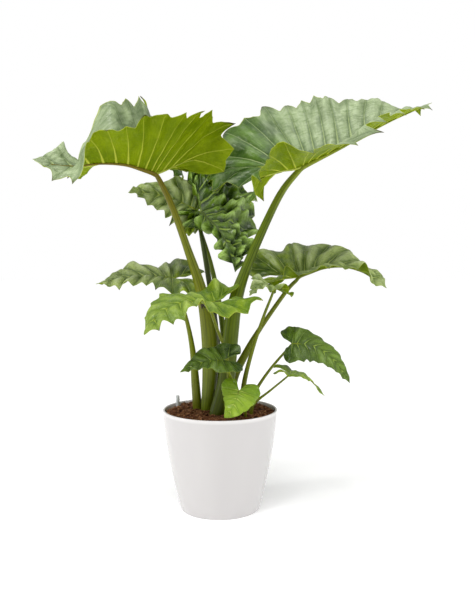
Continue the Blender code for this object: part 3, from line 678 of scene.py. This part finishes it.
# points of one half: phase counts veins round the margin, across goes from rib to margin
def bladePoints(leaf, phase, across, half, wrinkled=True):
    cleftVeins, lobeVeins, frontVeins = leaf["veins"]
    margin = smoothCurve(outline, marginSteps)
    stations = np.linspace(0, 1, marginSteps)
    lobeEnd, firstVein = (stations[np.argmin(np.linalg.norm(margin - outline[i], axis=1))] for i in (3, 6))
    knots = np.cumsum([0, cleftVeins, lobeVeins, frontVeins])
    around = np.interp(phase, knots, (0, lobeEnd, firstVein, 1))
    edgeX = np.interp(around, stations, margin[:, 0])
    edgeY = np.interp(around, stations, margin[:, 1])
    outAndBack = np.interp(phase, knots[:3], (0, 1, 0))
    onMidrib = np.clip((phase - knots[2]) / frontVeins, 0, 1) ** 1.45
    inFront = phase >= knots[2]
    ribX = np.where(inFront, onMidrib, lobeRib[0] * outAndBack)
    ribY = np.where(inFront, 0, lobeRib[1] * outAndBack ** 1.3)

    rng = np.random.default_rng(leaf["seed"] * 2 + half)
    total = knots[3]
    toothSize = rng.choice((0.5, 0.8, 1.1, 1.4, 1.9), total + 2)
    barbSize = rng.uniform(0.0, 0.5, total + 2)
    lean = rng.uniform(-0.12, 0.12, total + 2)
    waveSize = rng.uniform(-0.6, 1.3, total + 2)
    nearest = np.rint(phase).astype(int)
    between = np.clip(np.floor(phase).astype(int), 0, total)
    calm = fadeIn(phase, 0.0, 0.9) * fadeIn(total - phase, 0.0, 1.2)  # still at the cleft and the tip
    gapShare = 2 * np.abs(phase - nearest)                            # 0 on a vein, 1 half way to the next
    point = np.clip(1 - gapShare, 0, 1) ** 1.35
    barb = np.clip(1 - np.abs(gapShare - 0.62 - lean[between]) / 0.22, 0, 1)
    valley = 0.42 * (1 - point) * (0.6 + 0.5 * np.abs(waveSize[between]))
    tooth = leaf["tooth"] * (point * toothSize[nearest] + 0.22 * barb * barbSize[between] - valley)
    reach = across + (tooth * calm * fadeIn(across, 0.72, 1.02) if wrinkled else 0)

    x = ribX + (edgeX - ribX) * reach + 0.12 * onMidrib * (1 - onMidrib) * across * (across - 1)
    y = ribY + (edgeY - ribY) * reach

    rib, forward, upward, sideways = ribFrames(leaf)
    along = np.linspace(0, 1, len(rib))

    def onRib(rows):
        return np.stack([np.interp(np.clip(x, 0, 1), along, column) for column in rows.T], axis=-1)

    spot, up, side = onRib(rib), onRib(upward), onRib(sideways)
    back = np.clip(-x, 0, None)
    turn = np.radians(leaf["lobeDrop"]) * back
    alike = sum(leaf["lobe"]) / 2
    length = alike + (leaf["lobe"][half] - alike) * np.clip((back - cleft) / 0.3, 0, 1)
    behind = (x < 0)[..., None]
    swing = np.cos(turn / 2)[..., None] * forward[0] + np.sin(turn / 2)[..., None] * upward[0]
    spot = spot - np.where(behind, (length * back)[..., None] * swing, 0)
    turned = np.cos(turn)[..., None] * upward[0] - np.sin(turn)[..., None] * forward[0]
    up = np.where(behind, turned, up)

    fold = np.radians(eased(leaf["fold"][half], (x + 1) / 2))
    curl = np.radians(eased(leaf["curl"][half], (x + 1) / 2))
    curl = np.where(np.abs(curl) < 0.02, -0.02, curl)
    slope = fold + curl * y
    width = leaf["width"][half]
    out = (np.sin(slope) - np.sin(fold)) / curl * width
    rise = (np.cos(fold) - np.cos(slope)) / curl * width
    hand = 1 if half == 0 else -1
    spots = spot + side * (hand * out)[..., None] + up * rise[..., None]
    outward = up * np.cos(slope)[..., None] - side * (hand * np.sin(slope))[..., None]

    start = np.random.default_rng(leaf["seed"] * 2 + (half == 0)).uniform(0, 2 * np.pi, 2)
    wave = (np.sin(2 * np.pi * leaf["waves"] * around + start[0])
            + 0.6 * np.sin(3.8 * np.pi * leaf["waves"] * around + start[1]))
    lift = wave * leaf["ruffle"] * across ** 2 * calm
    thin = np.clip(0.024 / (across + 0.1), 0.03, 0.1)       # a vein keeps its width as the veins spread
    shown = np.where((nearest == 0) | (nearest == total), 0, 1)
    vein = np.exp(-((phase - nearest) / thin) ** 2) * (1 - 0.45 * across) * shown
    # painted shade: a broad band beside each vein, where the blade dips towards it
    hollow = np.exp(-((phase - nearest) / (thin * 4)) ** 2) * (1 - 0.3 * across) * shown
    # crest is the height of the relief, 0.5 where flat; the finish paints highlight on crests and shade in
    # hollows from it
    crest = np.full_like(across, 0.5)
    if wrinkled:
        ripple = sum(np.sin(2 * np.pi * (f * phase + g * across * leaf["width"][half] / 0.1 + start[0] * h))
                     for f, g, h in ((0.31, 0.9, 1.0), (0.53, -1.3, 2.0), (0.9, 1.9, 0.6), (1.4, -0.7, 1.7)))
        crumple = leaf["crumple"] * ripple * fadeIn(across, 0.1, 0.5)
        fullness = leaf["quilt"] * (0.35 + 0.9 * np.abs(waveSize[between]))
        puff = np.sin(np.pi * phase) ** 2 * fullness * np.sin(np.pi * np.clip(across, 0, 1)) ** 0.7
        frill = leaf["frill"] * fadeIn(across, 0.5, 1.0) * waveSize[between] * np.sin(np.pi * phase) ** 2
        curlTip = leaf["tooth"] * width * 0.5 * fadeIn(across, 0.9, 1.0) * point ** 2
        curlTip = curlTip * (toothSize[nearest] > 1)
        lift = lift + (crumple + puff + frill - curlTip) * calm - vein * ribDepth * min(1, width / 0.12)
        relief = crumple + puff - 0.4 * leaf["quilt"] + 0.6 * frill
        relief = relief / (leaf["quilt"] + leaf["crumple"] + 0.5 * leaf["frill"])
        crest = np.clip(0.5 + relief * calm, 0, 1)
    tips = point * fadeIn(across, 0.93, 1.0) * toothSize[nearest] * calm
    # painted sheen: where the blade faces up, ahead of the lobes, it is painted pale
    bloom = fadeIn(outward @ skyward, 0.1, 0.6) * fadeIn(x, -0.3, 0.25)
    measures = {"vein": vein, "hollow": hollow, "tips": tips, "bloom": bloom, "crest": crest}
    return spots + outward * lift[..., None], measures


def lift(points):
    return np.asarray(points, float) + (0, 0, mixLevel)


def bladeFinish(name, look, side):
    upper = side == "upper"
    names = ("upper", "deep", "vein") if upper else ("under", "underDeep", "underVein")
    skin, deep, line = (look[k] for k in names)
    made = Finish(name, Coat_Roughness=0.12, Specular_IOR_Level=0.3 if upper else 0.1)
    vein, hollow, across, tips = (made.attribute(k) for k in ("vein", "hollow", "across", "tips"))
    spot = made.objectPoint()
    grain = made.node("UVMap", {"uv_map": "UVMap"})
    streak = made.noise(made.node("Mapping", None, {"Vector": grain, "Scale": (110, 5, 1)}), 1.0, 4.0)
    mesh = made.noise(made.node("Mapping", None, {"Vector": grain, "Scale": (34, 26, 1)}), 1.0, 5.0, 0.6)
    cloud = made.noise(spot, 18.0, 4.0)
    colour = made.mix(made.band(cloud, 0.36, 0.66), skin, deep)
    if upper:
        # painted sheen: the pale colour where the blade faces up, broken into patches
        patchy = made.band(mesh + cloud * 0.6, 0.66, 0.95, look["bloom"], look["bloom"] * 0.55)
        colour = made.mix(made.attribute("bloom") * patchy, colour, look["pale"])
        # painted shade in the hollows of the relief and painted highlight on its crests
        crest = made.attribute("crest") * 0.8 + (streak - 0.5) * 0.9 + (mesh - 0.5) * 0.8 + 0.1
        colour = made.mix(made.band(crest, 0.22, 0.5, look["depth"], 0.0), colour, look["deep"])
        colour = made.mix(made.band(crest, 0.62, 0.95, 0.0, look["shine"]), colour, look["gleam"])
    colour = made.mix(made.band(mesh, 0.52, 0.72, 0.0, look["mottle"] if upper else 0.25), colour, deep)
    # painted shade beside the veins, on both sides of the blade
    colour = made.mix(made.band(hollow, 0.15, 0.9, 0.0, look["hollow"] if upper else 0.3), colour, deep)
    colour = made.mix(made.band(streak, 0.56, 0.7, 0.0, 0.16), colour, line)
    colour = made.mix(made.band(vein, 0.3, 0.75, 0.0, 0.8 if upper else 0.95), colour, line)
    colour = made.mix(made.band(across, 0.985, 0.998, 0.0, 0.6), colour, look["underVein"])
    colour = made.mix(made.band(tips, 0.6, 1.5, 0.0, 0.9), colour, toothBrown)
    low, high = (look["rough"], look["rough"] + 0.2) if upper else (0.5, 0.62)
    relief = made.noise(spot, 120.0, 4.0, 0.6) * 0.8 + streak * 0.35 + mesh * 0.6
    made.set(Base_Color=colour, Roughness=made.band(mesh, 0.3, 0.7, low, high),
             Normal=made.bump(relief, 0.7 if upper else 0.5, 0.004))
    if upper:
        made.set(Coat_Weight=made.band(mesh, 0.35, 0.65, look["coat"], look["coat"] * 0.3))
    return made.material


def makeHalf(leaf, half):
    total, rings = sum(leaf["veins"]), leaf["rings"]
    phases = np.array([v + s for v in range(total) for s in stepsPerVein] + [total])
    acrosses = np.linspace(0, 1, rings + 1) ** 0.9
    deselectAll()
    bpy.ops.mesh.primitive_grid_add(x_subdivisions=len(phases) - 1, y_subdivisions=rings, size=2)
    grid = bpy.context.object
    raw = np.array([v.co for v in grid.data.vertices])
    column = np.rint((raw[:, 0] + 1) / 2 * (len(phases) - 1)).astype(int)
    row = np.rint((raw[:, 1] + 1) / 2 * rings).astype(int)
    spots, measures = bladePoints(leaf, phases[column], acrosses[row], half)
    grid.data.vertices.foreach_set("co", lift(spots).astype(np.float32).ravel())
    for measure, values in measures.items():
        addMeasure(grid.data, measure, values)
    addMeasure(grid.data, "across", acrosses[row])
    corner = np.empty(len(grid.data.loops), np.int32)
    grid.data.loops.foreach_get("vertex_index", corner)
    flat = np.stack([phases[column[corner]] / total, acrosses[row[corner]]], axis=1)
    grid.data.uv_layers[0].name = "UVMap"
    grid.data.uv_layers[0].data.foreach_set("uv", flat.astype(np.float32).ravel())
    if half == 1:
        editAll()
        bpy.ops.mesh.flip_normals()
        leaveEdit()
    return grid


def lobeVein(leaf, half):  # the rib that runs back into a basal lobe, under the blade
    count = 14
    phase = np.linspace(0, leaf["veins"][0], count)
    spots = bladePoints(leaf, phase, np.zeros(count), half, False)[0]
    thick = leaf["radius"][-1] * 0.55 * (1 - 0.8 * np.linspace(0, 1, count))
    upward = ribFrames(leaf)[2][0]
    below = lift(spots) - upward * (thick * 0.7)[:, None]
    line = smoothCurve(np.column_stack([below, thick]), 20)
    return sweepTube(line, 8)


def makeBlade(name, leaf):
    blade = joinPieces([makeHalf(leaf, 0), makeHalf(leaf, 1)])
    editAll()
    bpy.ops.mesh.remove_doubles(threshold=weldDistance)
    leaveEdit()
    wear(blade, *leafMaterials[leaf["look"]])
    shell = blade.modifiers.new("thickness", "SOLIDIFY")
    shell.thickness = bladeThickness
    shell.offset = 0
    shell.material_offset = 1
    shell.material_offset_rim = 1
    applyAll(blade)
    smoothUpTo(60)
    ribs = [lobeVein(leaf, half) for half in (0, 1)]
    for rib in ribs:
        wear(rib, ribMaterials[leaf["look"]])
    blade = joinPieces([blade, *ribs])
    return place(blade, "leaf_" + name, "leaf", "blade_" + name)


def ribFinish(name, look):
    made = Finish(name, Roughness=0.4)
    cloud = made.noise(made.objectPoint(), 40.0, 2.0)
    return made.set(Base_Color=made.mix(cloud, look["underVein"], look["under"]))


leafMaterials = {n: (bladeFinish(n + "Upper", k, "upper"), bladeFinish(n + "Under", k, "under"))
                 for n, k in leafLooks.items()}
ribMaterials = {n: ribFinish(n + "Rib", k) for n, k in leafLooks.items()}

for leafName, leafData in leaves.items():
    makeBlade(leafName, leafData)
print("blades made")


# the stalks, each running on under its blade as the midrib

stalkLooks = {
    "olive": tones(low=(106, 124, 10), high=(114, 120, 2), top=(124, 106, 2), streak=(62, 74, 4)),
    "green": tones(low=(76, 88, 0), high=(92, 110, 0), top=(142, 154, 36), streak=(50, 66, 2)),
    "dark": tones(low=(70, 80, 22), high=(52, 62, 10), top=(78, 100, 20), streak=(30, 36, 8)),
    "thin": tones(low=(112, 118, 12), high=(114, 126, 6), top=(122, 140, 12), streak=(76, 74, 10)),
}
# how far along the blade, and the midrib's share of its thickness at the stalk
midribTaper = ((0.0, 1.0), (0.12, 0.8), (0.3, 0.6), (0.5, 0.44), (0.7, 0.32), (0.86, 0.22), (0.97, 0.12))
stalkLookOf = {"upper_left": "olive", "upper_right": "green", "centre_right": "dark", "centre_left": "green"}


def stalkFinish(name, look):
    made = Finish(name, Coat_Weight=0.08, Coat_Roughness=0.25, Specular_IOR_Level=0.25)
    along = made.attribute("along")
    grain = made.attribute("grain", "Vector")
    lengthwise = made.node("Mapping", None, {"Vector": grain, "Scale": (5, 5, 0.6)})
    streak = made.noise(lengthwise, 1.0, 5.0, 0.6)
    mottle = made.noise(made.objectPoint(), 55.0, 4.0)
    colour = made.mix(made.band(along, 0.0, 0.3), look["low"], look["high"])
    colour = made.mix(made.band(along, 0.5, 0.7), colour, look["top"])
    colour = made.mix(made.band(streak, 0.46, 0.66, 0.0, 0.9), colour, look["streak"])
    colour = made.mix(made.band(mottle, 0.55, 0.75, 0.0, 0.3), colour, look["streak"])
    rough = made.band(mottle, 0.3, 0.7, 0.34, 0.5)
    return made.set(Base_Color=colour, Roughness=rough, Normal=made.bump(streak, 0.35, 0.0012))


def stalkAndMidrib(leaf):
    points = [(*p, r) for p, r in zip(lift(leaf["stalk"]), leaf["radius"])]
    foot = (points[0][0], points[0][1], points[0][2] - stalkDepth, points[0][3] * 0.9)
    rib, forward, upward, _ = ribFrames(leaf)
    last = leaf["radius"][-1] * 0.85
    for share, size in midribTaper:
        i = int(share * (len(rib) - 1))
        thick = last * size
        points.append((*(lift(rib[i]) - upward[i] * thick * 0.75), thick))
    return smoothCurve([foot, *points], 30 + 6 * len(points))


def makeStalk(name, leaf):
    line = stalkAndMidrib(leaf)
    ridges = np.random.default_rng(leaf["seed"]).uniform(0, 2 * np.pi, 2)

    def shape(angle, height):
        return 1 + 0.035 * np.sin(3 * angle + ridges[0]) + 0.02 * np.sin(7 * angle + ridges[1] + height * 8)

    stalk = sweepTube(line, 24 if leaf["radius"][0] > 0.01 else 16, shape)
    wear(stalk, stalkMaterials[stalkLookOf.get(name, "thin")])
    return place(stalk, "petiole_" + name, "stalk", "stalk_" + name)


stalkMaterials = {n: stalkFinish(n + "Stalk", k) for n, k in stalkLooks.items()}
for leafName, leafData in leaves.items():
    makeStalk(leafName, leafData)
print("stalks made")


# the dried husk where the thickest stalk leaves its sheath

huskSettings = {
    "low": 0.262, "high": 0.300, "wall": 0.0012, "sides": 40, "rows": 12, "seed": 8,
    "gap": 0.0012, "flare": 0.0035, "folds": 0.0012, "tear": 0.006, "hem": 0.007,
    "dark": tone(34, 28, 18), "brown": tone(84, 62, 36),
}


def huskFinish():
    look = Finish("driedHusk")
    fibres = look.noise(look.objectPoint((1, 1, 0.15)), 420.0, 4.0, 0.6)
    patch = look.noise(look.objectPoint(), 90.0, 3.0)
    colour = look.mix(look.band(patch, 0.35, 0.7), huskSettings["dark"], huskSettings["brown"])
    colour = look.mix(look.band(fibres, 0.45, 0.65, 0.6, 0.0), colour, huskSettings["dark"])
    return look.set(Base_Color=colour, Roughness=look.band(patch, 0.3, 0.7, 0.9, 0.7),
                    Normal=look.bump(fibres, 0.8, 0.001))


def makeHusk():
    line = stalkAndMidrib(leaves["upper_left"])
    rng = np.random.default_rng(huskSettings["seed"])
    sides, rows = huskSettings["sides"], huskSettings["rows"]
    deselectAll()
    bpy.ops.mesh.primitive_cylinder_add(vertices=sides, radius=1, depth=1, end_fill_type="NOTHING")
    husk = bpy.context.object
    cutIntoRings(husk, rows)
    tear = rng.uniform(-1, 1, sides) * huskSettings["tear"]
    hem = rng.uniform(-1, 1, sides) * huskSettings["hem"]
    for vertex in husk.data.vertices:
        side = int(round(math.atan2(vertex.co.y, vertex.co.x) / math.tau * sides)) % sides
        share = vertex.co.z + 0.5
        low, high = huskSettings["low"] + hem[side], huskSettings["high"] + tear[side]
        z = mixLevel + low + (high - low) * share
        x, y, radius = (np.interp(z, line[:30, 2], line[:30, i]) for i in (0, 1, 3))
        angle = math.tau * side / sides
        fold = huskSettings["folds"] * math.sin(5 * angle + 9 * share)
        flare = radius + huskSettings["gap"] + huskSettings["flare"] * share ** 3 + fold
        vertex.co = (x + flare * math.cos(angle), y + flare * math.sin(angle), z)
    shell = husk.modifiers.new("wall", "SOLIDIFY")
    shell.thickness = huskSettings["wall"]
    shell.offset = 1
    applyAll(husk)
    smoothUpTo(60)
    wear(husk, huskFinish())
    return place(husk, "driedHusk", "husk", "dried_sheath")


makeMix()
makeBark()
makeGauge()
makeHusk()
print("mix, bark, gauge and husk made")


# floor, camera and lights

floorSettings = {"size": 60, "glow": 0.17, "colour": (0.98, 0.98, 0.98, 1)}
lightSettings = {
    "fill": 0.40, "overhead": 1.8, "softness": 60, "from": (-0.12, -0.4, 1.0),
    # name, place, what it points at, size, power
    "boxes": (("keySoftbox", (-0.7, -1.5, 2.6), (0, 0, 0.6), (0.35, 0.35), 10),
              ("leftSoftbox", (-2.3, -0.5, 1.4), (0, 0, 0.5), (0.4, 1.5), 15),
              ("rightSoftbox", (2.3, -0.5, 1.2), (0, 0, 0.5), (0.4, 1.5), 14)),
}
cameraSettings = {"place": (0.0, -1.661, 0.589), "down": 2.69, "right": 1.47, "lens": 40.8}


def makeFloor():
    deselectAll()
    bpy.ops.mesh.primitive_plane_add(size=floorSettings["size"], location=(0, 0, 0))
    floor = bpy.context.object
    floor.name = "studioFloor"
    look = Finish("paleFloor", Base_Color=floorSettings["colour"], Roughness=0.7,
                  Emission_Color=(1, 1, 1, 1), Emission_Strength=floorSettings["glow"])
    wear(floor, look.material)


def addArea(name, place, target, size, power):
    bpy.ops.object.light_add(type="AREA", location=place)
    light = bpy.context.object
    light.name = name
    light.data.shape = "RECTANGLE"
    light.data.size, light.data.size_y = size
    light.data.energy = power
    light.rotation_euler = (Vector(target) - Vector(place)).to_track_quat("-Z", "Y").to_euler()


def makeLight():
    world = bpy.data.worlds.new("studioWorld")
    bpy.context.scene.world = world
    world.use_nodes = True
    nodes, links = world.node_tree.nodes, world.node_tree.links
    background = nodes["Background"]
    background.inputs["Color"].default_value = (1, 1, 1, 1)
    path = nodes.new("ShaderNodeLightPath")
    dim = nodes.new("ShaderNodeMapRange")
    dim.inputs["To Min"].default_value = lightSettings["fill"]
    dim.inputs["To Max"].default_value = 1.0
    links.new(path.outputs["Is Camera Ray"], dim.inputs["Value"])
    links.new(dim.outputs["Result"], background.inputs["Strength"])
    bpy.ops.object.light_add(type="SUN", location=(-1, -1, 3))
    sky = bpy.context.object
    sky.name = "overheadLight"
    sky.data.energy = lightSettings["overhead"]
    sky.data.angle = math.radians(lightSettings["softness"])
    sky.rotation_euler = (-Vector(lightSettings["from"])).to_track_quat("-Z", "Y").to_euler()
    for box in lightSettings["boxes"]:
        addArea(*box)
    bpy.context.scene.view_settings.view_transform = "Standard"


def makeCamera():
    bpy.ops.object.camera_add(location=cameraSettings["place"])
    camera = bpy.context.object
    camera.name = "studioCamera"
    down, right = math.radians(cameraSettings["down"]), math.radians(cameraSettings["right"])
    camera.rotation_euler = (math.radians(90) - down, 0, -right)
    camera.data.sensor_width = 36
    camera.data.lens = cameraSettings["lens"]
    bpy.context.scene.camera = camera


makeFloor()
makeLight()
makeCamera()
print("stage set")
